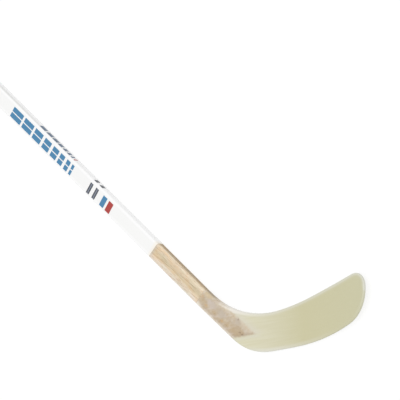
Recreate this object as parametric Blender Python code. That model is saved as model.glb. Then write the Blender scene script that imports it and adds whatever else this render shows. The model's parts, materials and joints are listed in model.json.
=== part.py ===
"""Wooden ice hockey stick, lying with the hollow side of its blade up.

The stick is an assembly: a laminated wooden shaft with a sawn slot in its lower end,
a blade core whose tongue fills that slot, glass skins over blade and heel, and a white
coat on the shaft.

Lengths are in millimetres until a mesh is made. The flat frame describes the stick
before its blade is curved: u runs along the ice from heel to toe, v rises from the ice,
and w points out of the hollow face. The heel point, where the shaft's lower edge would
meet the ice, is the origin. The stick frame has X down the shaft, Y across it and Z as w.
"""

import math

import bmesh
import bpy
import numpy as np
from mathutils import Matrix, Vector

MM = 0.001

# Shaft
LIE = math.radians(46)
SHAFT_LENGTH = 1500.0
SHAFT_WIDTH = 28.6
SHAFT_THICKNESS = 19.0
CORNER_RADIUS = 4.0
COAT_END = 267.0
COAT_WALL = 0.5
LAMINATE = 0.6
BARE_INSET = 0.2

# Plies of the shaft, as half thicknesses from the middle of the stick
CORE_HALF = 3.2
INNER_PLY_LOW = 3.5
INNER_PLY_HIGH = 5.5
FACE_PLY_LOW = 5.8

# Heel, where the shaft thins into the blade
TAPER_TOP = 175.0
TAPER_BOTTOM = -45.0
WRAP_TOP = 138.0
WOOD_END_HEIGHT = 31.0
HEEL_WOOD_WIDTH = 33.2
CROOK_LAG = 3.0
TONGUE_HALF = 1.5
TONGUE_TOP = 110.0
SAW_RADIUS = 120.0
THIN_EDGE = 1.0
FEATHER_EDGE = 0.5

# Outline of the blade
HEEL_RADIUS = 98.5
BLADE_LENGTH = 257.0
ROCKER_RADIUS = 386.0
ROCKER_SWEEP = 18.7
TOE_RADIUS = 62.0
TIP_RADIUS = 22.0
TOP_SLOPE = 13.7
CREST_RADIUS = 510.0
CREST_SLOPE = 6.0
CROOK_RADIUS = 168.0

# Thickness and curve of the blade
HEEL_THICKNESS = 8.4
TOE_THICKNESS = 5.2
EDGE_SHARE = 0.7
SKIN = 0.9
CURVE_START = 30.0
CURVE_RADIUS = 1020.0

# Clearance that stands for each glue line, and the number of faces on the curves
GAP = 0.3
CORNER_STEPS = 4
FACE_STEPS = 6
HEEL_STEPS = 22
TOE_STEPS = 22
MIDDLE = 130.0

UP_SHAFT = np.array([-math.cos(LIE), math.sin(LIE)])
ACROSS_SHAFT = np.array([math.sin(LIE), math.cos(LIE)])
WOOD_INSET = SKIN + GAP
COATED_INSET = COAT_WALL + GAP


def linear(hex_colour):
    """Linear colour from an sRGB hex value."""
    parts = [int(hex_colour[i : i + 2], 16) / 255 for i in (0, 2, 4)]
    return [c / 12.92 if c < 0.04045 else ((c + 0.055) / 1.055) ** 2.4 for c in parts]


def material(name, hex_colour, roughness):
    """A plain finish with the colour and gloss of the real piece."""
    finish = bpy.data.materials.new(name)
    finish.use_nodes = True
    shader = finish.node_tree.nodes["Principled BSDF"]
    shader.inputs["Base Color"].default_value = [*linear(hex_colour), 1]
    shader.inputs["Roughness"].default_value = roughness
    shader.inputs["Metallic"].default_value = 0.0
    return finish


def shaft_point(along, across):
    """Flat point at a distance up the shaft and across it from its lower edge."""
    return along * UP_SHAFT + across * ACROSS_SHAFT


def heading(degrees):
    """Unit vector of a direction in the flat frame."""
    return np.array([math.cos(math.radians(degrees)), math.sin(math.radians(degrees))])


def arc(centre, radius, first, last):
    """Points on an arc between two angles, one for each degree or so."""
    count = int(abs(last - first)) + 2
    return [centre + radius * heading(a) for a in np.linspace(first, last, count)]


def toe_centres():
    """Centres of the rocker, the lower toe arc and the tip arc."""
    sweep = math.radians(ROCKER_SWEEP)
    reach = ROCKER_RADIUS * math.sin(sweep) + TOE_RADIUS * (1 - math.sin(sweep))
    rocker = np.array([BLADE_LENGTH - reach, ROCKER_RADIUS])
    toe = rocker + (ROCKER_RADIUS - TOE_RADIUS) * heading(270 + ROCKER_SWEEP)
    tip = toe + np.array([TOE_RADIUS - TIP_RADIUS, 0])
    return rocker, toe, tip


def lower_edge():
    """Lower outline from the shaft round the heel, along the ice and up to the tip."""
    lie = math.degrees(LIE)
    tangent = HEEL_RADIUS * math.tan(LIE / 2)
    rocker, toe, _ = toe_centres()
    heel_centre = np.array([tangent, HEEL_RADIUS])
    points = [shaft_point(SHAFT_LENGTH, 0)]
    points += arc(heel_centre, HEEL_RADIUS, 270 - lie, 270)
    points += arc(rocker, ROCKER_RADIUS, 270, 270 + ROCKER_SWEEP)
    points += arc(toe, TOE_RADIUS, 270 + ROCKER_SWEEP, 360)[1:]
    return np.array(points)


def upper_edge():
    """Upper outline from the shaft round the crook, along the top and round to the tip."""
    lie = math.degrees(LIE)
    _, _, tip = toe_centres()
    top_end = tip + TIP_RADIUS * heading(90 + TOP_SLOPE)
    crook_move = CROOK_RADIUS * (heading(270 + CREST_SLOPE) - heading(270 - lie))
    crest_move = CREST_RADIUS * (heading(270 + TOP_SLOPE) - heading(270 + CREST_SLOPE))
    beyond = (top_end - crest_move - crook_move) @ ACROSS_SHAFT - SHAFT_WIDTH
    straight = beyond / (heading(TOP_SLOPE) @ ACROSS_SHAFT)
    top_start = top_end - straight * heading(TOP_SLOPE)
    crest_centre = top_start - CREST_RADIUS * heading(270 + TOP_SLOPE)
    crook_end = crest_centre + CREST_RADIUS * heading(270 + CREST_SLOPE)
    crook_centre = crook_end - CROOK_RADIUS * heading(270 + CREST_SLOPE)
    points = [shaft_point(SHAFT_LENGTH, SHAFT_WIDTH)]
    points += arc(crook_centre, CROOK_RADIUS, 270 - lie, 270 + CREST_SLOPE)
    points += arc(crest_centre, CREST_RADIUS, 270 + CREST_SLOPE, 270 + TOP_SLOPE)[1:]
    points += arc(tip, TIP_RADIUS, 90 + TOP_SLOPE, 0)
    return np.array(points)


def lengths_along(path):
    """Distance from the start of a path to each of its points."""
    return np.concatenate(([0], np.cumsum(np.linalg.norm(np.diff(path, axis=0), axis=1))))


def walk(path, distance):
    """Point of a path at a distance from its start."""
    lengths = lengths_along(path)
    return np.array([np.interp(distance, lengths, path[:, axis]) for axis in (0, 1)])


def inward(path, distance, side):
    """Unit normal of a path, to its left for side 1 and to its right for side -1."""
    ahead = walk(path, distance + 0.5) - walk(path, distance - 0.5)
    ahead /= np.linalg.norm(ahead)
    return side * np.array([-ahead[1], ahead[0]])


def half_thickness(point):
    """Half the stick's thickness at a flat point: a ramp down the shaft, then the blade."""
    ends = [HEEL_THICKNESS / 2, TOE_THICKNESS / 2]
    blade = np.interp(point[0], [0, BLADE_LENGTH], ends)
    rise = np.clip((point @ UP_SHAFT - TAPER_BOTTOM) / (TAPER_TOP - TAPER_BOTTOM), 0, 1)
    return blade + (SHAFT_THICKNESS / 2 - blade) * rise * rise * (3 - 2 * rise)


def level_cut(height, across):
    """Distance up the shaft at which a line parallel to the ice crosses it."""
    return (height - across * math.cos(LIE)) / math.sin(LIE)


def outline_width(along):
    """Width of the stick's outline at a distance up the shaft."""
    path = upper_edge()
    return float(np.interp(-along, -(path @ UP_SHAFT), path @ ACROSS_SHAFT))


def shaft_station(lower_along, upper_along, lag=0.0):
    """Section line across the shaft or the wood of the heel, square or slanted.

    The lag lets the wood widen a little later than the crook does, which leaves the
    rounded corners of a slanted section inside the skins.
    """
    width = min(outline_width(upper_along + lag), HEEL_WOOD_WIDTH)
    lower = shaft_point(lower_along, 0)
    upper = shaft_point(upper_along, width)
    step = (upper - lower) / width
    return lower, upper, step, -step


def blade_stations():
    """Section lines from the square top of the wrap round the heel to the tip."""
    lower_path, upper_path = lower_edge(), upper_edge()
    start = SHAFT_LENGTH - WRAP_TOP
    lower_middle = np.interp(MIDDLE, lower_path[:, 0], lengths_along(lower_path))
    upper_middle = np.interp(MIDDLE, upper_path[:, 0], lengths_along(upper_path))
    lower_end = lengths_along(lower_path)[-1]
    upper_end = lengths_along(upper_path)[-1]
    heel = np.linspace(0, 1, HEEL_STEPS + 1)[1:]
    toe = 1 - (1 - np.linspace(0, 1, TOE_STEPS + 1)[1:-1]) ** 1.5
    lower_at = [*(start + heel * (lower_middle - start))]
    lower_at += [*(lower_middle + toe * (lower_end - lower_middle))]
    upper_at = [*(start + heel * (upper_middle - start))]
    upper_at += [*(upper_middle + toe * (upper_end - upper_middle))]
    stations = [shaft_station(WRAP_TOP, WRAP_TOP)]
    for low, high in zip(lower_at, upper_at):
        ends = walk(lower_path, low), walk(upper_path, high)
        stations.append((*ends, inward(lower_path, low, 1), inward(upper_path, high, -1)))
    tip = np.array([BLADE_LENGTH, toe_centres()[1][1]])
    back = np.array([-1.0, 0.0])
    stations.append((tip, tip, back, back))
    return stations


def edge_points(point, into, inset):
    """Rounded edge of a section, from its side to its face, as flat points with heights."""
    radius = min(CORNER_RADIUS, EDGE_SHARE * half_thickness(point))
    half = half_thickness(point + into * radius)
    points = []
    for turn in np.linspace(0, math.pi / 2, CORNER_STEPS + 1):
        depth = inset + (radius - inset) * (1 - math.cos(turn))
        height = half - radius + (radius - inset) * math.sin(turn)
        points.append((*(point + into * depth), height))
    return points


def half_ring(station, inset):
    """Upper half of a section, from the lower edge over the face to the upper edge."""
    lower, upper, lower_in, upper_in = station
    first = edge_points(lower, lower_in, inset)
    last = edge_points(upper, upper_in, inset)[::-1]
    start, end = np.array(first[-1][:2]), np.array(last[0][:2])
    face = []
    for share in np.linspace(0, 1, FACE_STEPS + 1)[1:-1]:
        point = start + (end - start) * share
        face.append((*point, half_thickness(point) - inset))
    return first + face + last


def full_ring(station, inset):
    """Whole section at an inset from the stick's outer surface."""
    half = half_ring(station, inset)
    return half + [(u, v, -w) for u, v, w in half[::-1]]


def skin_ring(station, side):
    """Section of one glass skin: a C that meets the other skin at the middle plane."""
    rings = []
    for inset in (0, SKIN):
        half = half_ring(station, inset)
        seams = [(*end[:2], GAP / 2) for end in (half[0], half[-1])]
        rings.append([seams[0], *half, seams[1]])
    return [(u, v, side * w) for u, v, w in rings[0] + rings[1][::-1]]


def curved(u, v, w):
    """Stick frame position of a flat position, with the blade's curve put in."""
    if u > CURVE_START:
        turn = (u - CURVE_START) / CURVE_RADIUS
        u = CURVE_START + (CURVE_RADIUS - w) * math.sin(turn)
        w = CURVE_RADIUS - (CURVE_RADIUS - w) * math.cos(turn)
    flat = np.array([u, v])
    return Vector((-(flat @ UP_SHAFT), flat @ ACROSS_SHAFT, w)) * MM


def add_object(name, mesh, group, stick):
    """A mesh object in a collection, carried by the empty that lays the stick down."""
    body = bpy.data.objects.new(name, mesh)
    group.objects.link(body)
    body.parent = stick
    if group.name == "cutters":
        body.hide_render = True
        body.display_type = "WIRE"
    return body


def loft(name, rings, group, stick, cyclic=False):
    """Closed body through rings of equal count. Rings that fall together are merged."""
    shape = bmesh.new()
    loops = [[shape.verts.new(curved(*p)) for p in ring] for ring in rings]
    pairs = list(zip(loops, loops[1:]))
    if cyclic:
        pairs.append((loops[-1], loops[0]))
    else:
        shape.faces.new(loops[0])
    for near, far in pairs:
        for i in range(len(near)):
            shape.faces.new((near[i - 1], near[i], far[i], far[i - 1]))
    tip_is_open = (loops[-1][0].co - loops[-1][len(loops[-1]) // 2].co).length > MM
    if not cyclic and tip_is_open:
        shape.faces.new(loops[-1])
    bmesh.ops.remove_doubles(shape, verts=shape.verts, dist=0.001 * MM)
    bmesh.ops.recalc_face_normals(shape, faces=shape.faces)
    mesh = bpy.data.meshes.new(name)
    shape.to_mesh(mesh)
    shape.free()
    mesh.shade_smooth()
    mesh.set_sharp_from_angle(angle=math.radians(35))
    return add_object(name, mesh, group, stick)


def slab(name, low, high, group, stick):
    """Box between two corners: up the shaft, across it, and out of its face."""
    size = [b - a for a, b in zip(low, high)]
    centre = [(a + b) / 2 for a, b in zip(low, high)]
    place = Matrix.Translation((-centre[0] * MM, centre[1] * MM, centre[2] * MM))
    shape = bmesh.new()
    scale = Matrix.Diagonal((size[0] * MM, size[1] * MM, size[2] * MM, 1))
    bmesh.ops.create_cube(shape, size=1, matrix=place @ scale)
    mesh = bpy.data.meshes.new(name)
    shape.to_mesh(mesh)
    shape.free()
    return add_object(name, mesh, group, stick)


def plate(name, outline, low, high, group, stick):
    """Flat outline, as distances up and across the shaft, extruded between two heights."""
    curve = bpy.data.curves.new(name, "CURVE")
    curve.dimensions = "2D"
    curve.fill_mode = "BOTH"
    curve.extrude = (high - low) / 2 * MM
    spline = curve.splines.new("POLY")
    spline.points.add(len(outline) - 1)
    for point, (along, across) in zip(spline.points, outline):
        point.co = (-along * MM, across * MM, 0, 1)
    spline.use_cyclic_u = True
    drawn = bpy.data.objects.new(name + "_outline", curve)
    bpy.context.scene.collection.objects.link(drawn)
    bpy.context.view_layer.update()
    seen = drawn.evaluated_get(bpy.context.evaluated_depsgraph_get())
    mesh = bpy.data.meshes.new_from_object(seen)
    bpy.data.objects.remove(drawn)
    shape = bmesh.new()
    shape.from_mesh(mesh)
    bmesh.ops.remove_doubles(shape, verts=shape.verts, dist=0.001 * MM)
    bmesh.ops.translate(shape, verts=shape.verts, vec=(0, 0, (low + high) / 2 * MM))
    bmesh.ops.recalc_face_normals(shape, faces=shape.faces)
    shape.to_mesh(mesh)
    shape.free()
    return add_object(name, mesh, group, stick)


def cut(body, tool, operation):
    """Boolean on a body that stays live."""
    modifier = body.modifiers.new(tool.name, "BOOLEAN")
    modifier.operation = operation
    modifier.solver = "EXACT"
    modifier.object = tool


def wood_blank(group, stick):
    """Outer form of the glued plies, with its steps for the coat and for the wrap."""
    coat_step = COAT_END - GAP
    wrap = WRAP_TOP + GAP
    end = [level_cut(WOOD_END_HEIGHT, across) for across in (0, HEEL_WOOD_WIDTH)]
    lines = [(SHAFT_LENGTH, SHAFT_LENGTH, COATED_INSET)]
    lines += [(coat_step, coat_step, COATED_INSET), (coat_step, coat_step, BARE_INSET)]
    lines += [(along, along, BARE_INSET) for along in np.linspace(TAPER_TOP, wrap, 4)]
    for share in np.linspace(0, 1, 13):
        here = [wrap + (low - wrap) * share for low in end]
        lines.append((*here, WOOD_INSET))
    rings = [full_ring(shaft_station(a, b, CROOK_LAG), inset) for a, b, inset in lines]
    return loft("wood_blank", rings, group, stick)


def saw_arc(radius):
    """Arc that the round saw leaves, from below the shaft's lower edge to above it."""
    centre = np.array([TONGUE_TOP - SAW_RADIUS, SHAFT_WIDTH / 2])
    return [tuple(p) for p in arc(centre, radius, -22, 22)]


def slot_tool(group, stick):
    """Cutter of the slot in the core ply, a glue line wider than the tongue."""
    points = saw_arc(SAW_RADIUS + GAP)
    outline = [*points, (-20, points[-1][1]), (-20, points[0][1])]
    high = TONGUE_HALF + GAP
    return plate("slot_tool", outline, -high, high, group, stick)


def heel_tools(group, stick):
    """Cutters that leave the tongue on the blade core, clear of the wood round it."""
    border = HEEL_WOOD_WIDTH - WOOD_INSET + GAP
    crook_start = upper_edge()[1] @ UP_SHAFT
    room = border + THIN_EDGE + WOOD_INSET - SHAFT_WIDTH
    thin = crook_start - math.sqrt(2 * CROOK_RADIUS * room)
    below, beyond, above = -20, SHAFT_WIDTH + 40, TAPER_TOP + 5
    outline = [(level_cut(WOOD_END_HEIGHT - GAP, a), a) for a in (below, border)]
    outline += [(thin, border), (thin, beyond), (above, beyond), (above, below)]
    points = saw_arc(SAW_RADIUS)
    top = [*points, (above, points[-1][1]), (above, points[0][1])]
    deep = SHAFT_THICKNESS
    front = plate("tine_room_front", outline, TONGUE_HALF, deep, group, stick)
    back = plate("tine_room_back", outline, -deep, -TONGUE_HALF, group, stick)
    end = plate("tongue_end", top, -deep - 1, deep + 1, group, stick)
    return front, back, end


def feather_end():
    """Distance up the shaft at which a face ply has thinned to its feather edge."""
    alongs = np.linspace(TAPER_BOTTOM, TAPER_TOP, 400)
    halves = [half_thickness(shaft_point(a, SHAFT_WIDTH / 2)) for a in alongs]
    return float(np.interp(FACE_PLY_LOW + FEATHER_EDGE + WOOD_INSET, halves, alongs))


def shaft_core(blank, slot, group, stick):
    """Core ply, forked at its lower end by the slot."""
    low = (-5, -5, -CORE_HALF)
    high = (SHAFT_LENGTH + 5, SHAFT_WIDTH + 5, CORE_HALF)
    core = slab("shaft_core", low, high, group, stick)
    cut(core, blank, "INTERSECT")
    cut(core, slot, "DIFFERENCE")
    core.data.materials.append(material("aspen", "E6D6B2", 0.55))


def inner_ply(name, side, blank, finish, group, stick):
    """Thin ply between the core and a face ply."""
    heights = sorted((side * INNER_PLY_LOW, side * INNER_PLY_HIGH))
    low, high = (-5, -5, heights[0]), (SHAFT_LENGTH + 5, SHAFT_WIDTH + 5, heights[1])
    ply = slab(name, low, high, group, stick)
    cut(ply, blank, "INTERSECT")
    ply.data.materials.append(finish)


def face_ply(name, side, blank, room, finish, group, stick):
    """Outer ply, feathered at its lower end and rebated for the laminate under the coat."""
    heights = sorted((side * FACE_PLY_LOW, side * SHAFT_THICKNESS))
    low = (feather_end(), -5, heights[0])
    high = (SHAFT_LENGTH + 5, SHAFT_WIDTH + 5, heights[1])
    ply = slab(name, low, high, group, stick)
    cut(ply, blank, "INTERSECT")
    cut(ply, room, "DIFFERENCE")
    ply.data.materials.append(finish)


def shaft_glass(name, side, blank, finish, group, stick):
    """Fibreglass laminate on a wide face, under the coat."""
    inside = SHAFT_THICKNESS / 2 - COATED_INSET - LAMINATE
    heights = sorted((side * inside, side * SHAFT_THICKNESS))
    low = (COAT_END + 2, -5, heights[0])
    high = (SHAFT_LENGTH + 5, SHAFT_WIDTH + 5, heights[1])
    laminate = slab(name, low, high, group, stick)
    cut(laminate, blank, "INTERSECT")
    laminate.data.materials.append(finish)


def laminate_room(side, group, stick):
    """Cutter of the face ply's rebate, a glue line deeper than the laminate."""
    inside = SHAFT_THICKNESS / 2 - COATED_INSET - LAMINATE - GAP
    heights = sorted((side * inside, side * (SHAFT_THICKNESS + 5)))
    low = (COAT_END + 2 - GAP, -10, heights[0])
    high = (SHAFT_LENGTH + 10, SHAFT_WIDTH + 10, heights[1])
    name = "laminate_room_front" if side > 0 else "laminate_room_back"
    return slab(name, low, high, group, stick)


def white_coat(group, stick):
    """White finish round the shaft, from the butt to the bare wood."""
    butt = shaft_station(SHAFT_LENGTH, SHAFT_LENGTH)
    end = shaft_station(COAT_END, COAT_END)
    turns = [(butt, 0), (end, 0), (end, COAT_WALL), (butt, COAT_WALL)]
    rings = [full_ring(station, inset) for station, inset in turns]
    coat = loft("shaft_white_coat", rings, group, stick, cyclic=True)
    coat.data.materials.append(material("white_enamel", "F3F3F1", 0.25))
    return coat


def blade_core(stations, tools, group, stick):
    """Blade plate with the heel block and the tongue that fills the slot."""
    line_up = [shaft_station(TAPER_TOP, TAPER_TOP), *stations]
    rings = [full_ring(station, WOOD_INSET) for station in line_up]
    core = loft("blade_core", rings, group, stick)
    for tool in tools:
        cut(core, tool, "DIFFERENCE")
    core.data.materials.append(material("blade_plastic", "D2CDAE", 0.45))


def blade_skin(name, side, stations, finish, group, stick):
    """Glass skin on one face of the blade, running up over the end of the shaft."""
    rings = [skin_ring(station, side) for station in stations]
    skin = loft(name, rings, group, stick)
    skin.data.materials.append(finish)
    return skin


def lay_down(stick, coat, skins):
    """Rolls the stick until the shaft and the blade both touch the ground plane."""
    shaft = np.array([v.co for v in coat.data.vertices])
    blade = np.array([v.co for skin in skins for v in skin.data.vertices])
    low, high = 0.0, math.radians(20)
    for _ in range(60):
        roll = (low + high) / 2
        down = np.array([0, -math.sin(roll), math.cos(roll)])
        if (blade @ down).min() > (shaft @ down).min():
            low = roll
        else:
            high = roll
    turn = Matrix.Rotation(-roll, 3, "X")
    points = np.vstack([shaft, blade]) @ np.array(turn).T
    least, most = points.min(axis=0), points.max(axis=0)
    stick.rotation_euler = (-roll, 0, 0)
    stick.location = (-(least[0] + most[0]) / 2, -(least[1] + most[1]) / 2, -least[2])


def main():
    for old in list(bpy.data.objects):
        bpy.data.objects.remove(old)
    parts = bpy.data.collections.new("hockey_stick")
    cutters = bpy.data.collections.new("cutters")
    bpy.context.scene.collection.children.link(parts)
    bpy.context.scene.collection.children.link(cutters)
    stick = bpy.data.objects.new("stick", None)
    parts.objects.link(stick)

    blank = wood_blank(cutters, stick)
    shaft_core(blank, slot_tool(cutters, stick), parts, stick)
    birch = material("birch", "DCC79F", 0.5)
    ash = material("varnished_ash", "DCCAA8", 0.35)
    glass = material("shaft_fibreglass", "DADBC9", 0.3)
    for word, side in (("front", 1), ("back", -1)):
        inner_ply("shaft_inner_ply_" + word, side, blank, birch, parts, stick)
        room = laminate_room(side, cutters, stick)
        face_ply("shaft_face_ply_" + word, side, blank, room, ash, parts, stick)
        shaft_glass("shaft_glass_" + word, side, blank, glass, parts, stick)
    coat = white_coat(parts, stick)

    stations = blade_stations()
    blade_core(stations, heel_tools(cutters, stick), parts, stick)
    resin = material("blade_fibreglass", "D6D2B4", 0.35)
    skins = [blade_skin("blade_glass_front", 1, stations, resin, parts, stick)]
    skins.append(blade_skin("blade_glass_back", -1, stations, resin, parts, stick))
    lay_down(stick, coat, skins)
    bpy.context.view_layer.update()


main()
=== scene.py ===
"""Looks of the wooden ice hockey stick: finishes, smooth surfaces, floor, light and camera.

Lengths are in millimetres, and MM turns them into metres. The stick frame has X down the
shaft towards the heel, Y across the shaft from its lower edge, and Z out of the hollow face.
The flat frame turns it about Z, so that u runs along the ice and v rises from it. Both have
their origin at the heel point, where the shaft's lower edge would meet the ice.
"""

import json
import math

import bmesh
import bpy
from mathutils import Matrix, Vector, kdtree


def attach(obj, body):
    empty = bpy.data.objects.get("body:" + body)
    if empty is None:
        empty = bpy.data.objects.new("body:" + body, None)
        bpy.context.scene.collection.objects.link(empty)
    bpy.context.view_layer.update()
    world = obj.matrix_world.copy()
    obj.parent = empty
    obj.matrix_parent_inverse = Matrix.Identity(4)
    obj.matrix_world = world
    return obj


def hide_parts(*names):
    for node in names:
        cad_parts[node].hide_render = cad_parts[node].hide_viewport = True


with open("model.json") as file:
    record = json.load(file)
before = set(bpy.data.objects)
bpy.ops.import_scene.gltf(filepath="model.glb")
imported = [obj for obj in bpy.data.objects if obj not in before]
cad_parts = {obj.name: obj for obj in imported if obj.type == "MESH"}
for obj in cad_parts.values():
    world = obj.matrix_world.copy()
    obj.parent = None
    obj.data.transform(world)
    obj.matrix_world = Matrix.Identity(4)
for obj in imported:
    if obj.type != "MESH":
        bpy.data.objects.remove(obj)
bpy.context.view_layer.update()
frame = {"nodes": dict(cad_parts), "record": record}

MM = 0.001

# Sizes of the stick that its finishes follow
LIE = math.radians(46)
SHAFT_LENGTH = 1500.0
SHAFT_WIDTH = 28.6
SHAFT_THICKNESS = 19.0
CORNER_RADIUS = 4.0
COAT_END = 267.0
COAT_WALL = 0.5
GLUE_LINE = 0.3
WRAP_TOP = 138.0
BLADE_LENGTH = 257.0

# Place in the stick frame of the mount on the shaft's wide face
FACE_MARK = Vector((-900.0, SHAFT_WIDTH / 2, SHAFT_THICKNESS / 2))

# Middle lines of the shaft and the blade in the flat frame, as (height at u = 0, slope)
SHAFT_LINE = (20.6, -1.0355)
BLADE_LINE = (38, 0.12)

# Smoothness of the meshes
CORNER_FACES = 8
SHARP = math.radians(40)  # angle from which an edge is sharp
FLAT = math.radians(15)  # angle up to which triangles are joined
FINE_LEVELS = 2  # subdivisions of the skins
MERGE_REACH = 0.01  # how close points are merged
SEAM_REACH = 1.1 * GLUE_LINE  # how close the two skins are joined

# Printed blocks, which get narrower down the shaft, with a small row on its narrow sides
BLOCK_FIRST = 656.0  # top of the first block, up the shaft
BLOCK_WIDTHS = (26.0, 24.0, 21.0, 18.0, 15.0, 12.0, 9.0, 6.0)
BLOCK_GAP = 5.4
SMALL_FIRST = 593.0
SMALL_SCALE = 0.58

# Pair of dark bars, with a paler inside on the wide faces
BARS_MIDDLE = 432.2  # place up the shaft, between the two
BAR_SPACE = 15.1
BAR_WIDTH = 7.3
BAR_INSIDE = 2.6
SMALL_BARS_MIDDLE = 429.7
SMALL_BAR_WIDTH = 8.2

# Two marks below the bars
MARK_PLACES = (386.0, 402.0)
MARK_WIDTH = 11.0

# Reach of the print up the shaft and across it
PRINT_BOTTOM = 370.0
PRINT_TOP = 670.0
PRINT_LEAN = 0.11  # slope of its stripes
PRINT_MIDDLE = 12.6
PRINT_HALF = 9.1
BAR_HALF = 9.6
SLIT_HALF = 0.8  # the thin line that splits the blocks
SLIT_START = 460.0
SMALL_MIDDLE = 2.6
SMALL_HALF = 4.9

# Inks
BLUE_INK = "4583AD"
RED_INK = "AE3B36"
DARK_INK = "373D47"
PALE_INK = "7F8592"
SMALL_INK = "3F5C7A"
INK_WAVES = 0.6  # waves in the ink's edges, to the millimetre
INK_DRIFT = 0.35  # how far they carry the ink

# White paint, with a painted highlight where it turns round the shaft's corners
PAINT = "F8F8F7"
CORNER_HIGHLIGHT_PAINT = "FFFFFF"
EDGE_TURN = (8.0, 12.0)  # where one turns into the other, from the middle of a wide face
FILM_SIZE = 3.0  # unevenness of its film
FILM_DEPTH = 0.01

# Painted shade that greys the narrow sides up the shaft, about a line near the hollow face
PAINTED_SIDE_SHADE = "E9E9E7"
GREY_LINE = 7.0
GREY_REACH = 8.0
GREY_RISE = (400.0, 700.0)
SIDE_TURN = (12.0, 14.0)  # where a narrow side begins, from the middle of a wide face

# Varnish on the end of the coat, and painted shade on the wood just past the coat's step, as
# (tone, share)
VARNISH_EDGE = ("FBF2E2", 0.6)
STEP_SHADE = ("BEBDBA", 0.35)
OVERLAP_FULL = 1.0  # how far from the coat's end they are still full
OVERLAP_FADE = 7.0  # how far from it they are gone

# Figure of the wood, as (length, width), and its shades
STREAKS = (45, 3.0)
STREAK_SHADES = [(0.32, "F3EBE1"), (0.5, "F9F5EF"), (0.68, "FFFFFF")]
WARM_PATCHES = (22, 7)
WARM_SHADES = [(0.34, "FFF4E4"), (0.5, "FEFBF6"), (0.66, "F8FAF3")]
PORES = (12, 0.9)  # about 0.2 mm wide on real ash, and wider here so that they show
PORE_LEVELS = (0.55, 0.66)
PORE_TONE = "A8875C"
PORE_SHARE = 0.5
GRAIN_DEPTH = 0.05

# Edges of the growth rings
RING_SLANT = -0.095
RING_SPACE = 12.0
RING_START = 0.6  # place of one of them
RING_WANDER = 4.0
RING_FADE = (1.2, 0.3)  # how far from its middle a line is gone and is full
RING_TONE = "9A7B52"
RING_SHARE = 0.32
RING_BENDS = (30, 15)  # figure that bends the lines
RING_BREAKS = (35, 5)  # figure that breaks them up
BREAK_LEVELS = (0.42, 0.55)

# Colours across the bare wood from the shaft's lower to its upper edge; pale ends are painted
# highlights
ASH_ACROSS_AND_HIGHLIGHTS = [
    (0.0, "F0E8E0"),
    (0.2, "EFE5DA"),
    (0.45, "E3D5BA"),
    (0.6, "DED1BA"),
    (0.94, "F8EBD8"),
]

# Where through the thickness the inner wood turns from its back tone to its front tone
PLY_TURN = (-2.0, 5.0)

# Wood that the resin has soaked
SOAK_REACH = 3.5  # how softly it starts at the top of the wrap
WOOD_END_HEIGHT = 31.0  # height of its cut end above the ice
HEEL_WOOD_WIDTH = 33.2
HEEL_REACH = 36.0  # width that its colours span
DAMP_TONE = "EFE7DC"  # what darkens it on the bare plies

# Colours across the soaked wood, out to the border of the heel
SOAKED_ACROSS = [
    (0.0, "F6EFE2"),
    (0.17, "CABBA5"),
    (0.33, "D0BFA2"),
    (0.6, "CFC2AE"),
    (0.9, "DDD1BB"),
]

# Mottle of the soaked wood, and streaks of paler resin over it
MOTTLE_SIZE = 7.0
MOTTLE_SHADES = [(0.32, "E5DACC"), (0.45, "F1EBE3"), (0.56, "F3F0EE"), (0.7, "FFFEFC")]
RESIN_STREAKS = (32, 4.5)
RESIN_LEVELS = (0.5, 0.7)
RESIN_TONE = "E4DAD4"
RESIN_SHARE = 0.32

# Marks in the soaked wood, as (distance up the shaft, distance across it, size)
WOOD_MARKS = {
    "BAA483": [(45, 15, 12), (36, 21, 6)],
    "C0B3A2": [(86, 18, 10), (52, 30, 8)],
    "CDC1B6": [(110, 18, 10), (119, 20, 5)],
    "D9C49F": [(128, 28, 10)],
    "F0E9DA": [(136, 3, 6), (42, 2, 6)],
    "CBA97E": [(138, 18, 6), (120, 11, 3), (78, 10, 3)],
    "8D735F": [(37, 18, 2), (30, 18, 2.5), (54, 33, 2)],
}
MARK_SQUEEZE = 0.7  # distances along the shaft count less, which draws a mark out
MARK_WAVES = 4.0  # size of the waves in its outline
MARK_BEND = 6  # how far they reach
MARK_FULL = 0.25  # how much of its size it is full over
MARK_SHARE = 0.7

# Cut end and border of the soaked wood, with a darker line along the end
CUT_TONE = "9C8468"
CUT_SHARE = 0.33
CUT_FADE = (10.0, 3.5)  # how far above the end the line is gone and is full
END_FADE = 5.5
BORDER_FADE = (8.0, 1.0)
RAG_SIZE = 5.0  # size of the waves in the end and the border
END_RAG = 3.0
BORDER_RAG = 6.0

# Greyer resin beside the wood and below its end
BESIDE_TONE = "DAD3CE"
BESIDE_SHARE = 0.4
BESIDE_REACH = 20.0
BELOW_TONE = "D8D6D0"
BELOW_SHARE = 0.3
BELOW_FADE = (8.0, 1.0)  # how far below the end it is gone and is full
BELOW_REACH = 12.0

# Colours along the blade, from behind the heel to the toe: the resin's tone, with painted shade
# towards the toe
GLASS_START = -25.0
GLASS_AND_SHADE_ALONG = [
    (0.0, "DDD9BC"),
    (0.22, "D9D5BA"),
    (0.5, "CCC7A2"),
    (1.0, "CBC8A6"),
]

# Fibres in the resin, fainter towards the toe
FIBRES = (70, 2.5)
FIBRE_SHADES = [(0.35, "FAF9F5"), (0.65, "FFFFFF")]
FIBRE_FADE = (130.0, 40.0)
FIBRE_SHARES = (0.25, 1.0)

# Threads of the cloth, under 1 mm apart on the real one and 4 mm here, so that they show
THREAD_SPACE = 4.0
THREAD_DEPTH = 0.02

# Painted highlight along the rim of the blade, which changes a little just before the toe
RIM_HIGHLIGHT = "E8E9E6"
RIM_WIDTH = 10.0
RIM_MOST = (0.82, 0.95)  # how much of its tone it has at most
RIM_FALL = (3.0, 5.0)  # how steeply it falls off
RIM_TURN = (236.0, 252.0)  # where along the blade both change
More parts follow.
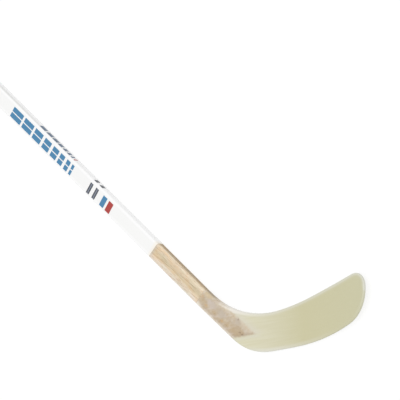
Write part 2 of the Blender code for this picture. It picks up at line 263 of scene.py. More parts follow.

# Strength of the rim's painted highlight, as (u, share): above 1 the crook's edge catches the
# light as well
UPPER_RIM = [
    (-62, 0.0),
    (-47, 1.4),
    (-27, 1.55),
    (10, 1.2),
    (40, 1.0),
    (235, 1.0),
    (257, 0.8),
]
LOWER_RIM = [
    (-60, 0.2),
    (-5, 0.15),
    (20, 1.0),
    (60, 0.9),
    (185, 0.1),
    (225, 0.1),
    (257, 0.4),
]

# Painted highlight on the lit edge of the crook, as distances in from the outline
LIT_FADE = (5.0, 2.0)  # where it is gone and is full
LIT_WIDTH = 8.0  # width that its shades span
LIT_SHADES = [(0.0, "F5EEE4"), (0.2, "FDF8F0")]

# Plies seen through the clear top of the wrap
PLIES_TONE = "A18D6C"
PLIES_MIDDLE = -1.5  # place through the thickness
PLIES_FADE = (7.5, 4.5)  # how far from that place they are gone and are full
CLEAR_FADE = (-105.0, -125.0)  # where down the shaft they are gone and are full

# Where the clouds in the covered plastic reach their low and their high tone
CLOUD_LEVELS = (0.3, 0.7)

# Camera, by its angles in the stick frame
VIEW_TURN = math.radians(20.01)  # round the shaft
VIEW_DROP = math.radians(-30.99)  # up the shaft
IMAGE_TURN = math.radians(180 - 44.58)  # way that the shaft points in the image
VIEW_DISTANCE = 12267.0
SENSOR = 36.0
FAR_CLIP = 100  # in metres

# Photograph's frame
IMAGE_SIZE = 400
PIXEL = 1.64913  # what one pixel spans at the stick
HEEL_PIXEL = (249.90, 355.18)

# Light, as the share that each source gives a surface that faces it
SKY_LEVEL = 0.71
LAMP_LEVEL = 0.29
LAMP_SPREAD = math.radians(50)
LAMP_TOWARDS = (0.2, 0.1, 1.0)  # in the stick frame

# Floor: to the camera a glow with a dim surface, and to the stick a pale surface
FLOOR_SIZE = 60  # half its side, in metres
FLOOR_DROP = 0.1  # how far under the stick it lies
FLOOR_GLOW = 0.84
FLOOR_TONE = 0.20
FLOOR_COLOUR = "EEEEEE"

# Settings that several nodes share
SOFT = {"interpolation_type": "SMOOTHSTEP"}  # a range with soft ends
TINT = {"data_type": "RGBA", "out": 2}  # a mix of two colours


def stick_matrix():
    """Place of the stick frame in the world, from the mount on the wide face of the shaft."""
    mark = next(m for m in frame["record"]["mounts"] if m["name"] == "shaft_wide_face")
    roll = -math.atan2(mark["axis"][1], mark["axis"][2])
    at_mark = Matrix.Translation(mark["pos_m"]) @ Matrix.Rotation(roll, 4, "X")
    return at_mark @ Matrix.Translation(-FACE_MARK * MM)


STICK = stick_matrix()


def colour(hex_value):
    """Linear colour from an sRGB hex value."""
    parts = [int(hex_value[i : i + 2], 16) / 255 for i in (0, 2, 4)]
    linear = [c / 12.92 if c < 0.04045 else ((c + 0.055) / 1.055) ** 2.4 for c in parts]
    return (*linear, 1.0)


def add(tree, kind, inputs, out=0, stops=(), band="LINEAR", **settings):
    """Adds a node with its settings, colour stops and links, and returns one of its outputs.

    Inputs are named or numbered. A Map Range takes its value at 0, its range at 1 and 2 and
    the result's range at 3 and 4. A colour Mix takes its share at 0 and its colours at 6 and 7.
    """
    made = tree.nodes.new("ShaderNode" + kind)
    for name, value in settings.items():
        setattr(made, name, value)
    for i, (place, hex_value, *ink) in enumerate(stops):
        made.color_ramp.interpolation = band
        if i == 0:
            made.color_ramp.elements.remove(made.color_ramp.elements[1])
        else:
            made.color_ramp.elements.new(place)
        stop = made.color_ramp.elements[i]
        stop.position = place
        stop.color = (*colour(hex_value)[:3], *(ink or [1.0]))
    for name, value in inputs.items():
        if isinstance(value, bpy.types.NodeSocket):
            tree.links.new(value, made.inputs[name])
        else:
            made.inputs[name].default_value = value
    return made.outputs[out]


def finish_of(name, roughness, ior):
    """A new material for a real finish, with its node tree and its shader."""
    finish = bpy.data.materials.new(name)
    finish.use_nodes = True
    shader = finish.node_tree.nodes["Principled BSDF"]
    shader.inputs["Roughness"].default_value = roughness
    shader.inputs["IOR"].default_value = ior
    return finish, finish.node_tree, shader


def coloured(tree, shader, tone, height, depth):
    """Gives a shader its colour, and its surface a relief of some depth."""
    tree.links.new(tone, shader.inputs["Base Color"])
    bump = {"Height": height, "Strength": 1.0, "Distance": depth * MM}
    tree.links.new(add(tree, "Bump", bump), shader.inputs["Normal"])


def stick_place(tree):
    """Position on the object in the stick frame, in millimetres."""
    place = {"Location": STICK.translation, "Rotation": STICK.to_euler(), "Scale": (MM,) * 3}
    place["Vector"] = add(tree, "TexCoord", {}, out="Object")
    return add(tree, "Mapping", place, vector_type="TEXTURE")


def away_from(tree, value, middle):
    """How far a value is from a middle."""
    apart = add(tree, "Math", {0: value, 1: middle}, operation="SUBTRACT")
    return add(tree, "Math", {0: apart}, operation="ABSOLUTE")


def grain(tree, place, length, width):
    """Figure of wood or fibre drawn out along the first axis, with a length and a width."""
    scale = (1 / length, 1 / width, 1 / width)
    at = add(tree, "Mapping", {"Vector": place, "Scale": scale})
    return add(tree, "TexNoise", {"Vector": at, "Scale": 1.0, "Detail": 3.0})


def grained(tree, place, tone):
    """A wood tone with streaks, warm patches and short dark pores, and the height of its grain."""
    streaks = grain(tree, place, *STREAKS)
    shade = add(tree, "ValToRGB", {"Fac": streaks}, stops=STREAK_SHADES)
    tone = add(tree, "Mix", {0: 1.0, 6: tone, 7: shade}, blend_type="MULTIPLY", **TINT)
    warm = grain(tree, place, *WARM_PATCHES)
    shade = add(tree, "ValToRGB", {"Fac": warm}, stops=WARM_SHADES)
    tone = add(tree, "Mix", {0: 1.0, 6: tone, 7: shade}, blend_type="MULTIPLY", **TINT)
    pores = {0: grain(tree, place, *PORES), 1: PORE_LEVELS[0], 2: PORE_LEVELS[1]}
    pores = add(tree, "MapRange", pores, **SOFT)
    dark = add(tree, "Math", {0: pores, 1: PORE_SHARE}, operation="MULTIPLY")
    tone = add(tree, "Mix", {0: dark, 6: tone, 7: colour(PORE_TONE)}, **TINT)
    height = add(tree, "Math", {0: streaks, 1: pores}, operation="SUBTRACT")
    return tone, height


def stripes(first, scale, ink, last_ink):
    """The row of blocks that get narrower down the shaft, as (start, end, ink) up the shaft."""
    row, top = [], first
    for width in BLOCK_WIDTHS:
        row.append((top - width * scale, top, ink))
        top -= (width + BLOCK_GAP) * scale
    row[-1] = (*row[-1][:2], last_ink)
    return row


def bands(places, width, inks):
    """Stripes of one width about given places."""
    return [(at - width / 2, at + width / 2, ink) for at, ink in zip(places, inks)]


def printed(tree, along, row):
    """Ink colour of a row of stripes, and the mask of its ink."""
    share = add(tree, "MapRange", {0: along, 1: PRINT_BOTTOM, 2: PRINT_TOP})
    stops = [(0.0, "FFFFFF", 0.0)]
    for start, end, ink in sorted(row):
        ends = [(at - PRINT_BOTTOM) / (PRINT_TOP - PRINT_BOTTOM) for at in (start, end)]
        stops += [(ends[0], ink, 1.0), (ends[1], "FFFFFF", 0.0)]
    ink = add(tree, "ValToRGB", {"Fac": share}, stops=stops, band="CONSTANT")
    return ink, ink.node.outputs["Alpha"]


def with_bars(tree, row, within, along, middle, width, hex_value):
    """A row's ink and mask with the pair of bars over it, about a middle between them."""
    ink, mask = row
    apart = away_from(tree, away_from(tree, along, middle), BAR_SPACE / 2)
    bar = add(tree, "Math", {0: apart, 1: width / 2}, operation="LESS_THAN")
    bar = add(tree, "Math", {0: bar, 1: within}, operation="MULTIPLY")
    ink = add(tree, "Mix", {0: bar, 6: ink, 7: colour(hex_value)}, **TINT)
    return ink, add(tree, "Math", {0: mask, 1: bar}, operation="MAXIMUM")


def wide_print(tree, along, across):
    """Ink and mask of the wide faces: blocks split by a slit, two bars and two marks."""
    row = stripes(BLOCK_FIRST, 1.0, BLUE_INK, BLUE_INK)
    row += bands(MARK_PLACES, MARK_WIDTH, [RED_INK, BLUE_INK])
    ink, mask = printed(tree, along, row)
    from_middle = away_from(tree, across, PRINT_MIDDLE)
    within = add(tree, "Math", {0: from_middle, 1: PRINT_HALF}, operation="LESS_THAN")
    in_slit = add(tree, "Math", {0: from_middle, 1: SLIT_HALF}, operation="LESS_THAN")
    in_blocks = add(tree, "Math", {0: along, 1: SLIT_START}, operation="GREATER_THAN")
    slit = add(tree, "Math", {0: in_slit, 1: in_blocks}, operation="MULTIPLY")
    within = add(tree, "Math", {0: within, 1: slit}, operation="SUBTRACT")
    mask = add(tree, "Math", {0: mask, 1: within}, operation="MULTIPLY")
    reach = add(tree, "Math", {0: from_middle, 1: BAR_HALF}, operation="LESS_THAN")
    row = with_bars(tree, (ink, mask), reach, along, BARS_MIDDLE, BAR_WIDTH, DARK_INK)
    return with_bars(tree, row, reach, along, BARS_MIDDLE, BAR_INSIDE, PALE_INK)


def narrow_print(tree, along, out):
    """Ink and mask of the narrow sides: small blocks and two bars."""
    row = stripes(SMALL_FIRST, SMALL_SCALE, SMALL_INK, RED_INK)
    ink, mask = printed(tree, along, row)
    from_middle = away_from(tree, out, SMALL_MIDDLE)
    within = add(tree, "Math", {0: from_middle, 1: SMALL_HALF}, operation="LESS_THAN")
    mask = add(tree, "Math", {0: mask, 1: within}, operation="MULTIPLY")
    place = SMALL_BARS_MIDDLE, SMALL_BAR_WIDTH
    return with_bars(tree, (ink, mask), within, along, *place, DARK_INK)


def coat_paint(tree, along, across, out):
    """White of the coat: brighter past the wide faces, as a painted highlight on the corners, and
    greyer up its narrow sides, as painted shade.
    """
    aside = away_from(tree, across, SHAFT_WIDTH / 2)
    # Painted highlight: whiter paint past the wide faces, where the rounded corners catch the
    # light
    edge = add(tree, "MapRange", {0: aside, 1: EDGE_TURN[0], 2: EDGE_TURN[1]})
    paint = add(tree, "ValToRGB", {"Fac": edge}, stops=[(0.0, PAINT), (1.0, CORNER_HIGHLIGHT_PAINT)])
    # Painted shade: the narrow sides grey up the shaft, most about a line near the hollow face
    side = add(tree, "MapRange", {0: aside, 1: SIDE_TURN[0], 2: SIDE_TURN[1]}, **SOFT)
    near = {0: away_from(tree, out, GREY_LINE), 1: GREY_REACH, 2: 0.0}
    near = add(tree, "MapRange", near, **SOFT)
    side = add(tree, "Math", {0: side, 1: near}, operation="MULTIPLY")
    grey = add(tree, "MapRange", {0: along, 1: GREY_RISE[0], 2: GREY_RISE[1]}, **SOFT)
    grey = add(tree, "Math", {0: grey, 1: side}, operation="MULTIPLY")
    paint = add(tree, "Mix", {0: grey, 6: paint, 7: colour(PAINTED_SIDE_SHADE)}, **TINT)
    tone, share = VARNISH_EDGE
    end = {0: along, 1: COAT_END + OVERLAP_FADE, 2: COAT_END + OVERLAP_FULL, 4: share}
    end = add(tree, "MapRange", end, **SOFT)
    return add(tree, "Mix", {0: end, 6: paint, 7: colour(tone)}, **TINT)


def coat_finish():
    """Gloss white paint with screen-printed ink: even and bright, with crisp slanted stripes."""
    finish, tree, shader = finish_of("gloss_white_paint_screen_printed", roughness=0.28, ior=1.5)
    place = stick_place(tree)
    wobble = {"Vector": place, "Scale": INK_WAVES, "Detail": 1.0}
    wobble = add(tree, "TexNoise", wobble, out="Color")
    wobble = add(tree, "VectorMath", {0: wobble, 1: (0.5,) * 3}, operation="SUBTRACT")
    drift = {0: wobble, 1: (INK_DRIFT,) * 3, 2: place}
    inked = add(tree, "VectorMath", drift, operation="MULTIPLY_ADD")
    split = add(tree, "SeparateXYZ", {0: inked})
    across, out = split.node.outputs["Y"], split.node.outputs["Z"]
    lean = {0: across, 1: -PRINT_LEAN, 2: PRINT_MIDDLE * PRINT_LEAN}
    lean = add(tree, "Math", lean, operation="MULTIPLY_ADD")
    along = add(tree, "Math", {0: lean, 1: split}, operation="SUBTRACT")
    paint = coat_paint(tree, along, across, out)
    ink, mask = narrow_print(tree, along, out)
    paint = add(tree, "Mix", {0: mask, 6: paint, 7: ink}, **TINT)
    ink, mask = wide_print(tree, along, across)
    paint = add(tree, "Mix", {0: mask, 6: paint, 7: ink}, **TINT)
    film = add(tree, "TexNoise", {"Vector": place, "Scale": 1 / FILM_SIZE, "Detail": 2.0})
    coloured(tree, shader, paint, film, FILM_DEPTH)
    return finish


def ash_tone(tree, across):
    """Tone of the bare wood across the shaft, paler at its edges as a painted highlight on the
    corners.
    """
    share = add(tree, "MapRange", {0: across, 1: 0.0, 2: SHAFT_WIDTH})
    return add(tree, "ValToRGB", {"Fac": share}, stops=ASH_ACROSS_AND_HIGHLIGHTS)


def soaked_tone(tree, across):
    """Even tone of the wood that resin has soaked."""
    share = add(tree, "MapRange", {0: across, 1: 0.0, 2: HEEL_REACH})
    return add(tree, "ValToRGB", {"Fac": share}, stops=SOAKED_ACROSS)


def soaking(tree, split):
    """How far the resin has soaked the wood at the top of the wrap, from 0 to 1."""
    soaked = {0: split, 1: -WRAP_TOP - SOAK_REACH, 2: -WRAP_TOP + SOAK_REACH}
    return add(tree, "MapRange", soaked, **SOFT)


def ring_lines(tree, place, split):
    """Edges of the growth rings: thin lines at a slight slant, which come and go."""
    slanted = {0: split, 1: RING_SLANT, 2: split.node.outputs["Y"]}
    slanted = add(tree, "Math", slanted, operation="MULTIPLY_ADD")
    wander = {0: grain(tree, place, *RING_BENDS), 1: RING_WANDER, 2: slanted}
    wander = add(tree, "Math", wander, operation="MULTIPLY_ADD")
    wander = add(tree, "Math", {0: wander, 1: RING_START}, operation="SUBTRACT")
    apart = add(tree, "Math", {0: wander, 1: RING_SPACE / 2}, operation="PINGPONG")
    line = add(tree, "MapRange", {0: apart, 1: RING_FADE[0], 2: RING_FADE[1]}, **SOFT)
    shown = {0: grain(tree, place, *RING_BREAKS), 1: BREAK_LEVELS[0], 2: BREAK_LEVELS[1]}
    shown = add(tree, "MapRange", shown, **SOFT)
    return add(tree, "Math", {0: line, 1: shown}, operation="MULTIPLY")


def wood_finish():
    """Varnished white ash: warm pale wood, darker along its middle than at its edges, where a
    highlight is painted, with short dark pores.
    """
    finish, tree, shader = finish_of("varnished_white_ash", roughness=0.42, ior=1.5)
    place = stick_place(tree)
    split = add(tree, "SeparateXYZ", {0: place})
    across = split.node.outputs["Y"]
    tone, height = grained(tree, place, ash_tone(tree, across))
    rings = {0: ring_lines(tree, place, split), 1: RING_SHARE}
    rings = add(tree, "Math", rings, operation="MULTIPLY")
    tone = add(tree, "Mix", {0: rings, 6: tone, 7: colour(RING_TONE)}, **TINT)
    # Painted shade: a darker, greyer band on the wood just below the coat's step
    grey, share = STEP_SHADE
    step_shade = {0: split, 1: OVERLAP_FADE - COAT_END, 2: OVERLAP_FULL - COAT_END, 4: share}
    step_shade = add(tree, "MapRange", step_shade, **SOFT)
    tone = add(tree, "Mix", {0: step_shade, 6: tone, 7: colour(grey)}, **TINT)
    damp = {0: 1.0, 6: soaked_tone(tree, across), 7: colour(DAMP_TONE)}
    damp = add(tree, "Mix", damp, blend_type="MULTIPLY", **TINT)
    tone = add(tree, "Mix", {0: soaking(tree, split), 6: tone, 7: damp}, **TINT)
    coloured(tree, shader, tone, height, GRAIN_DEPTH)
    return finish


def ply_finish(name, front, back):
    """Sawn core or inner ply: a brown strip on the narrow edges, paler towards the front."""
    finish, tree, shader = finish_of(name, roughness=0.55, ior=1.5)
    place = stick_place(tree)
    out = add(tree, "SeparateXYZ", {0: place}, out="Z")
    share = add(tree, "MapRange", {0: out, 1: PLY_TURN[0], 2: PLY_TURN[1]}, **SOFT)
    tone = add(tree, "Mix", {0: share, 6: colour(back), 7: colour(front)}, **TINT)
    tone, height = grained(tree, place, tone)
    coloured(tree, shader, tone, height, GRAIN_DEPTH)
    return finish


def marked(tree, place, tone):
    """The soaked wood's tone with its marks, each drawn out along the shaft and uneven."""
    bend = {"Vector": place, "Scale": 1 / MARK_WAVES, "Detail": 2.0}
    bend = add(tree, "TexNoise", bend, out="Color")
    bend = {0: bend, 1: (MARK_BEND, MARK_BEND, 0), 2: place}
    bend = add(tree, "VectorMath", bend, operation="MULTIPLY_ADD")
    bend = add(tree, "VectorMath", {0: bend, 1: (MARK_SQUEEZE, 1, 0)}, operation="MULTIPLY")
    shift = MARK_BEND / 2
    for hex_value, marks in WOOD_MARKS.items():
        for up, aside, size in marks:
            far = {0: bend, 1: (MARK_SQUEEZE * (shift - up), aside + shift, 0)}
            far = add(tree, "VectorMath", far, out="Value", operation="DISTANCE")
            near = {0: far, 1: size, 2: size * MARK_FULL, 4: MARK_SHARE}
            near = add(tree, "MapRange", near, **SOFT)
            tone = add(tree, "Mix", {0: near, 6: tone, 7: colour(hex_value)}, **TINT)
    return tone


def soaked_wood(tree, place, flat):
    """Wood that resin has darkened: mottled grey and brown, with a few knots and spots.

    Streaks of paler resin over it run along the blade.
    """
    split = add(tree, "SeparateXYZ", {0: place})
    across = split.node.outputs["Y"]
    tone = soaked_tone(tree, across)
    mottle = add(tree, "TexNoise", {"Vector": place, "Scale": 1 / MOTTLE_SIZE, "Detail": 4.0})
    shade = add(tree, "ValToRGB", {"Fac": mottle}, stops=MOTTLE_SHADES)
    tone = add(tree, "Mix", {0: 1.0, 6: tone, 7: shade}, blend_type="MULTIPLY", **TINT)
    low, high = RESIN_LEVELS
    pale = {0: grain(tree, flat, *RESIN_STREAKS), 1: low, 2: high, 4: RESIN_SHARE}
    pale = add(tree, "MapRange", pale, **SOFT)
    tone = add(tree, "Mix", {0: pale, 6: tone, 7: colour(RESIN_TONE)}, **TINT)
    tone = marked(tree, place, tone)
    bare = {0: soaking(tree, split), 6: ash_tone(tree, across), 7: tone}
    return add(tree, "Mix", bare, **TINT)


def rimmed(tree, glass, along):
    """The skin's resin with a painted highlight along its rim, which is paler and greyer, and
    narrower at the toe.
    """
    inset = add(tree, "Attribute", {}, out="Fac", attribute_name="inset")
    turn = {0: along, 1: RIM_TURN[0], 2: RIM_TURN[1]}
    most = add(tree, "MapRange", {**turn, 3: RIM_MOST[0], 4: RIM_MOST[1]})
    near = add(tree, "MapRange", {0: inset, 1: RIM_WIDTH, 2: 0.0, 4: most})
    fall = add(tree, "MapRange", {**turn, 3: RIM_FALL[0], 4: RIM_FALL[1]})
    near = add(tree, "Math", {0: near, 1: fall}, operation="POWER")
    share = add(tree, "Attribute", {}, out="Fac", attribute_name="rim_share")
    pale = add(tree, "Math", {0: near, 1: share}, operation="MULTIPLY")
    # Painted highlight along the rim
    return add(tree, "Mix", {0: pale, 6: glass, 7: colour(RIM_HIGHLIGHT)}, **TINT)


def lit_crook(tree, tone):
    """Painted highlight on the rounded edge of the crook, where it catches the light, a little
    less bright right at the outline.
    """
    inset = add(tree, "Attribute", {}, out="Fac", attribute_name="inset")
    near = add(tree, "MapRange", {0: inset, 1: LIT_FADE[0], 2: LIT_FADE[1]}, **SOFT)
    share = add(tree, "Attribute", {}, out="Fac", attribute_name="rim_share")
    extra = add(tree, "Math", {0: share, 1: 1.0}, operation="SUBTRACT")
    lit = add(tree, "Math", {0: near, 1: extra}, operation="MULTIPLY")
    edge = add(tree, "MapRange", {0: inset, 1: 0.0, 2: LIT_WIDTH})
    shade = add(tree, "ValToRGB", {"Fac": edge}, stops=LIT_SHADES)
    return add(tree, "Mix", {0: lit, 6: tone, 7: shade}, **TINT)


def clear_top(tree, split, tone):
    """Top of the wrap: clear over the plies on the narrow sides, which look dark there."""
    out = away_from(tree, split.node.outputs["Z"], PLIES_MIDDLE)
    side = add(tree, "MapRange", {0: out, 1: PLIES_FADE[0], 2: PLIES_FADE[1]}, **SOFT)
    high = add(tree, "MapRange", {0: split, 1: CLEAR_FADE[0], 2: CLEAR_FADE[1]}, **SOFT)
    plies = add(tree, "Math", {0: side, 1: high}, operation="MULTIPLY")
    return add(tree, "Mix", {0: plies, 6: tone, 7: colour(PLIES_TONE)}, **TINT)


def heel_seen(tree, place, flat, glass, across, height):
    """The resin's tone with the soaked wood seen through it, above the cut end of the wood.

    The cut shows as a darker line. Beside and below the wood the resin is a little greyer.
    """
    soaked = soaked_wood(tree, place, flat)
    ragged = add(tree, "TexNoise", {"Vector": place, "Scale": 1 / RAG_SIZE, "Detail": 2.0})
    lift = add(tree, "Math", {0: ragged, 1: END_RAG, 2: height}, operation="MULTIPLY_ADD")
    line = [WOOD_END_HEIGHT + fade for fade in CUT_FADE]
    cut = add(tree, "MapRange", {0: lift, 1: line[0], 2: line[1], 4: CUT_SHARE}, **SOFT)
    soaked = add(tree, "Mix", {0: cut, 6: soaked, 7: colour(CUT_TONE)}, **TINT)
    above = {0: lift, 1: WOOD_END_HEIGHT, 2: WOOD_END_HEIGHT + END_FADE}
    above = add(tree, "MapRange", above, **SOFT)
    drift = add(tree, "Math", {0: ragged, 1: BORDER_RAG, 2: across}, operation="MULTIPLY_ADD")
    border = [HEEL_WOOD_WIDTH + fade for fade in BORDER_FADE]
    within = add(tree, "MapRange", {0: drift, 1: border[0], 2: border[1]}, **SOFT)
    beside = {0: across, 1: HEEL_WOOD_WIDTH + BESIDE_REACH, 2: HEEL_WOOD_WIDTH}
    beside = add(tree, "MapRange", {**beside, 4: BESIDE_SHARE}, **SOFT)
    beside = add(tree, "Math", {0: above, 1: beside}, operation="MULTIPLY")
    glass = add(tree, "Mix", {0: beside, 6: glass, 7: colour(BESIDE_TONE)}, **TINT)
    under = [WOOD_END_HEIGHT - fade for fade in BELOW_FADE]
    below = {0: height, 1: under[0], 2: under[1], 4: BELOW_SHARE}
    below = add(tree, "MapRange", below, **SOFT)
    below = add(tree, "Math", {0: below, 1: above}, operation="SUBTRACT", use_clamp=True)
    near = {0: across, 1: HEEL_WOOD_WIDTH + BELOW_REACH, 2: HEEL_WOOD_WIDTH}
    near = add(tree, "MapRange", near, **SOFT)
    below = add(tree, "Math", {0: below, 1: near}, operation="MULTIPLY")
    glass = add(tree, "Mix", {0: below, 6: glass, 7: colour(BELOW_TONE)}, **TINT)
    seen = add(tree, "Math", {0: above, 1: within}, operation="MULTIPLY")
    return add(tree, "Mix", {0: seen, 6: glass, 7: soaked}, **TINT)


def skin_finish():
    """Fibreglass cloth in pale resin: satin greenish cream, with soaked wood seen through it."""
    finish, tree, shader = finish_of("fibreglass_cloth_in_pale_resin", roughness=0.38, ior=1.52)
    place = stick_place(tree)
    split = add(tree, "SeparateXYZ", {0: place})
    flat = add(tree, "Mapping", {"Vector": place, "Rotation": (0, 0, -LIE)})
    along = add(tree, "SeparateXYZ", {0: flat})
    height = along.node.outputs["Y"]

    # The resin's tone, darkened towards the toe by painted shade where the curved face turns from
    # the light
    share = add(tree, "MapRange", {0: along, 1: GLASS_START, 2: BLADE_LENGTH})
    glass = add(tree, "ValToRGB", {"Fac": share}, stops=GLASS_AND_SHADE_ALONG)
    fibres = grain(tree, flat, *FIBRES)
    shade = add(tree, "ValToRGB", {"Fac": fibres}, stops=FIBRE_SHADES)
    clear = {1: FIBRE_FADE[0], 2: FIBRE_FADE[1], 3: FIBRE_SHARES[0], 4: FIBRE_SHARES[1]}
    clear = add(tree, "MapRange", {0: along, **clear})
    glass = add(tree, "Mix", {0: clear, 6: glass, 7: shade}, blend_type="MULTIPLY", **TINT)
    glass = rimmed(tree, glass, along)
    tone = heel_seen(tree, place, flat, glass, split.node.outputs["Y"], height)
    tone = lit_crook(tree, tone)
    tone = clear_top(tree, split, tone)

    turns = (2 * math.pi / THREAD_SPACE,) * 3
    threads = add(tree, "VectorMath", {0: flat, 1: turns}, operation="MULTIPLY")
    threads = add(tree, "VectorMath", {0: threads}, operation="SINE")
    threads = add(tree, "SeparateXYZ", {0: threads})
    weave = {0: threads, 1: threads.node.outputs["Y"]}
    weave = add(tree, "Math", weave, operation="MULTIPLY")
    coloured(tree, shader, tone, weave, THREAD_DEPTH)
    return finish


def plain_finish(name, low, high, roughness, size):
    """Moulded or laminated plastic that the skins and the coat cover, clouded in two tones."""
    finish, tree, shader = finish_of(name, roughness, ior=1.5)
    place = stick_place(tree)
    clouds = add(tree, "TexNoise", {"Vector": place, "Scale": 1 / size, "Detail": 2.0})
    tones = list(zip(CLOUD_LEVELS, (low, high)))
    tone = add(tree, "ValToRGB", {"Fac": clouds}, stops=tones)
    tree.links.new(tone, shader.inputs["Base Color"])
    return finish


def finished(name, shape, finish, node):
    """Turns a bmesh into a piece that stands for a CAD node."""
    mesh = bpy.data.meshes.new(name)
    shape.to_mesh(mesh)
    shape.free()
    # A CAD mesh brings its own normals, which don't fit the merged faces
    leftover = mesh.attributes.get("custom_normal")
    if leftover:
        mesh.attributes.remove(leftover)
    mesh.materials.clear()
    mesh.materials.append(finish)
    mesh.shade_smooth()
    mesh.set_sharp_from_angle(angle=SHARP)
    piece = bpy.data.objects.new(name, mesh)
    bpy.context.scene.collection.objects.link(piece)
    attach(piece, "root")
    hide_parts(node)
    return piece


def merged_copy(node):
    """A CAD node's surface with its loose triangles merged, and joined where they are flat."""
    shape = bmesh.new()
    shape.from_mesh(frame["nodes"][node].data)
    bmesh.ops.remove_doubles(shape, verts=shape.verts, dist=MERGE_REACH * MM)
    angles = {"angle_face_threshold": FLAT, "angle_shape_threshold": math.pi}
    bmesh.ops.join_triangles(shape, faces=shape.faces, **angles)
    return shape


def white_coat(finish):
    """Coat round the shaft: a tube with round corners, from the butt to the bare wood."""
    shape = bmesh.new()
    end = COAT_END - GLUE_LINE
    length = SHAFT_LENGTH - end
    size = Matrix.Diagonal((length, SHAFT_WIDTH, SHAFT_THICKNESS, 1))
    middle = Matrix.Translation((-(SHAFT_LENGTH + end) / 2, SHAFT_WIDTH / 2, 0))
    bmesh.ops.create_cube(shape, size=1, matrix=middle @ size)
    ends = [f for f in shape.faces if abs(f.normal.x) > 0.5]
    bmesh.ops.delete(shape, geom=ends, context="FACES_ONLY")
    long = [e for e in shape.edges if e.calc_length() > length / 2]
    rounding = {"affect": "EDGES", "segments": CORNER_FACES, "profile": 0.5, "material": -1}
    bmesh.ops.bevel(shape, geom=long, offset=CORNER_RADIUS, **rounding)
    bmesh.ops.recalc_face_normals(shape, faces=shape.faces)
    bmesh.ops.solidify(shape, geom=shape.faces, thickness=COAT_WALL)
    bmesh.ops.transform(shape, verts=shape.verts, matrix=STICK @ Matrix.Scale(MM, 4))
    return finished("white_coat", shape, finish, "shaft_white_coat")


def face_ply(side, finish):
    """Outer ply of the shaft, bare between the coat and the blade's skin."""
    node = "shaft_face_ply_" + side
    ply = finished("face_ply_" + side, merged_copy(node), finish, node)
    weighted = ply.modifiers.new("even_shading", "WEIGHTED_NORMAL")
    weighted.keep_sharp = True
    return ply


def flattened(place):
    """Position in the flat frame, with no height."""
    return Vector((*(Matrix.Rotation(-LIE, 2) @ place.xy), 0))


def rim_share(place):
    """How pale the rim is at a point of the outline, from the lists for its two edges."""
    u, v = place.xy
    middle = max(start + slope * u for start, slope in (SHAFT_LINE, BLADE_LINE))
    stops = UPPER_RIM if v > middle else LOWER_RIM
    for (low, before), (high, after) in zip(stops, stops[1:]):
        if low <= u < high:
            return before + (after - before) * (u - low) / (high - low)
    return stops[0][1] if u < stops[0][0] else stops[-1][1]


def joined_seam(front, back):
    """Brings both skins together where they meet, and returns the points of that seam."""
    meeting = kdtree.KDTree(len(back.verts))
    others = list(back.verts)
    for i, vert in enumerate(others):
        meeting.insert(vert.co, i)
    meeting.balance()
    seam = []
    for vert in front.verts:
        _, i, apart = meeting.find(vert.co)
        if apart < SEAM_REACH * MM:
            middle = (vert.co + others[i].co) / 2
            vert.co = middle
            others[i].co = middle
            seam.append(middle)
    return seam


def blade_skins(finish):
    """Both glass skins, brought together along the seam and made finer.

    Each point keeps its distance to the seam, which is the blade's outline, and the share of
    paleness that the nearest point of the seam has. The rim's tone is made from the two.
    """
    shapes = {side: merged_copy("blade_glass_" + side) for side in ("front", "back")}
    seam = joined_seam(shapes["front"], shapes["back"])
    to_stick = Matrix.Scale(1 / MM, 4) @ STICK.inverted()
    outline = kdtree.KDTree(len(seam))
    for i, place in enumerate(seam):
        outline.insert(flattened(to_stick @ place), i)
    outline.balance()
    for side, shape in shapes.items():
        inset = shape.verts.layers.float.new("inset")
        share = shape.verts.layers.float.new("rim_share")
        for vert in shape.verts:
            nearest, _, away = outline.find(flattened(to_stick @ vert.co))
            vert[inset] = away
            vert[share] = rim_share(nearest)
        crease = shape.edges.layers.float.new("crease_edge")
        for edge in shape.edges:
            edge[crease] = float(edge.calc_face_angle(0.0) > SHARP)
        node = "blade_glass_" + side
        skin = finished("blade_skin_" + side, shape, finish, node)
        finer = skin.modifiers.new("finer", "SUBSURF")
        finer.levels = finer.render_levels = FINE_LEVELS


def dress_nodes():
    """Finishes of the CAD nodes that stay as they are."""
    aspen = ply_finish("sawn_aspen_core", "C6B69B", "B8A991")
    birch = ply_finish("birch_veneer", "D9CAAE", "BEAF96")
    glass = plain_finish("fibreglass_laminate", "D6D8C6", "E2E3D4", roughness=0.35, size=2)
    plastic = plain_finish("moulded_blade_plastic", "D0CBAA", "D8D4B8", roughness=0.45, size=12)
    dressed = {
        "shaft_core": aspen,
        "shaft_inner_ply_front": birch,
        "shaft_inner_ply_back": birch,
        "shaft_glass_front": glass,
        "shaft_glass_back": glass,
        "blade_core": plastic,
    }
    for node, finish in dressed.items():
        frame["nodes"][node].material_slots[0].material = finish


def seen_by_camera(tree):
    """1 for rays from the camera, and for those that gloss or clear parts send on."""
    rays = add(tree, "LightPath", {}, out="Is Camera Ray")
    sent = rays.node.outputs
    more = {0: sent["Is Glossy Ray"], 1: sent["Is Transmission Ray"]}
    more = add(tree, "Math", more, operation="MAXIMUM")
    return add(tree, "Math", {0: rays, 1: more}, operation="MAXIMUM")


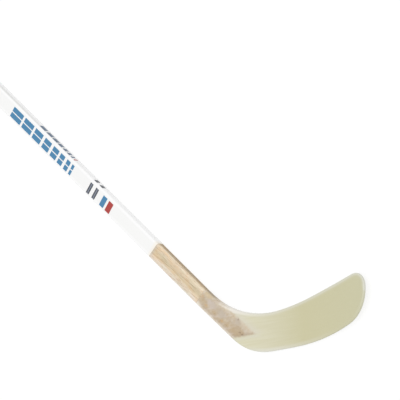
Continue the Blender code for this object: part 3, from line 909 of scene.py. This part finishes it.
def make_floor():
    """Pale floor that shows as white and keeps a faint shadow."""
    shape = bmesh.new()
    bmesh.ops.create_grid(shape, x_segments=1, y_segments=1, size=FLOOR_SIZE)
    mesh = bpy.data.meshes.new("floor")
    shape.to_mesh(mesh)
    shape.free()
    floor = bpy.data.objects.new("floor", mesh)
    bpy.context.scene.collection.objects.link(floor)
    floor.location.z = -FLOOR_DROP * MM

    paper = bpy.data.materials.new("white_paper")
    paper.use_nodes = True
    tree = paper.node_tree
    tree.nodes.clear()
    seen = seen_by_camera(tree)
    lit = add(tree, "BsdfDiffuse", {"Color": colour(FLOOR_COLOUR)})
    dim = add(tree, "BsdfDiffuse", {"Color": (FLOOR_TONE,) * 3 + (1,)})
    glow = add(tree, "Emission", {"Color": (1, 1, 1, 1), "Strength": FLOOR_GLOW})
    shown = add(tree, "AddShader", {0: dim, 1: glow})
    both = add(tree, "MixShader", {0: seen, 1: lit, 2: shown})
    output = tree.nodes.new("ShaderNodeOutputMaterial")
    tree.links.new(both, output.inputs["Surface"])
    mesh.materials.append(paper)


def make_sky():
    """Even sky that lights the stick, and shows as white behind the floor."""
    world = bpy.data.worlds.new("studio")
    bpy.context.scene.world = world
    world.use_nodes = True
    tree = world.node_tree
    tree.nodes.clear()
    light = add(tree, "Background", {"Color": (1, 1, 1, 1), "Strength": SKY_LEVEL})
    white = add(tree, "Background", {"Color": (1, 1, 1, 1), "Strength": 1.0})
    both = add(tree, "MixShader", {0: seen_by_camera(tree), 1: light, 2: white})
    output = tree.nodes.new("ShaderNodeOutputWorld")
    tree.links.new(both, output.inputs["Surface"])


def make_lamp():
    """One broad soft lamp above the hollow face."""
    lamp = bpy.data.lights.new("soft_lamp", "SUN")
    lamp.energy = LAMP_LEVEL * math.pi
    lamp.angle = LAMP_SPREAD
    holder = bpy.data.objects.new("soft_lamp", lamp)
    bpy.context.scene.collection.objects.link(holder)
    towards = STICK.to_3x3() @ Vector(LAMP_TOWARDS)
    holder.rotation_euler = towards.to_track_quat("Z", "Y").to_euler()


def make_camera():
    """Camera at the photograph's angle, at a long distance, with its roll."""
    up_shaft = Vector((-1, 0, 0))
    turned = math.cos(VIEW_TURN) * Vector((0, 0, 1)) + math.sin(VIEW_TURN) * Vector((0, 1, 0))
    back = math.cos(VIEW_DROP) * turned + math.sin(VIEW_DROP) * up_shaft
    rise = (up_shaft - up_shaft.dot(back) * back).normalized()
    side = rise.cross(back)
    right = math.cos(IMAGE_TURN) * rise + math.sin(IMAGE_TURN) * side
    up = math.sin(IMAGE_TURN) * rise - math.cos(IMAGE_TURN) * side
    half = IMAGE_SIZE / 2
    centre = (half - HEEL_PIXEL[0]) * PIXEL * right + (HEEL_PIXEL[1] - half) * PIXEL * up
    camera = bpy.data.objects.new("camera", bpy.data.cameras.new("camera"))
    bpy.context.scene.collection.objects.link(camera)
    bpy.context.scene.camera = camera
    camera.data.sensor_width = SENSOR
    camera.data.lens = SENSOR * VIEW_DISTANCE / (IMAGE_SIZE * PIXEL)
    camera.data.clip_end = FAR_CLIP
    turn = Matrix((right, up, back)).transposed()
    place = Matrix.Translation((centre + VIEW_DISTANCE * back) * MM) @ turn.to_4x4()
    camera.matrix_world = STICK @ place


make_camera()
make_floor()
make_sky()
make_lamp()
white_coat(coat_finish())
ash = wood_finish()
face_ply("front", ash)
face_ply("back", ash)
blade_skins(skin_finish())
dress_nodes()

bpy.context.scene.view_settings.view_transform = "Standard"
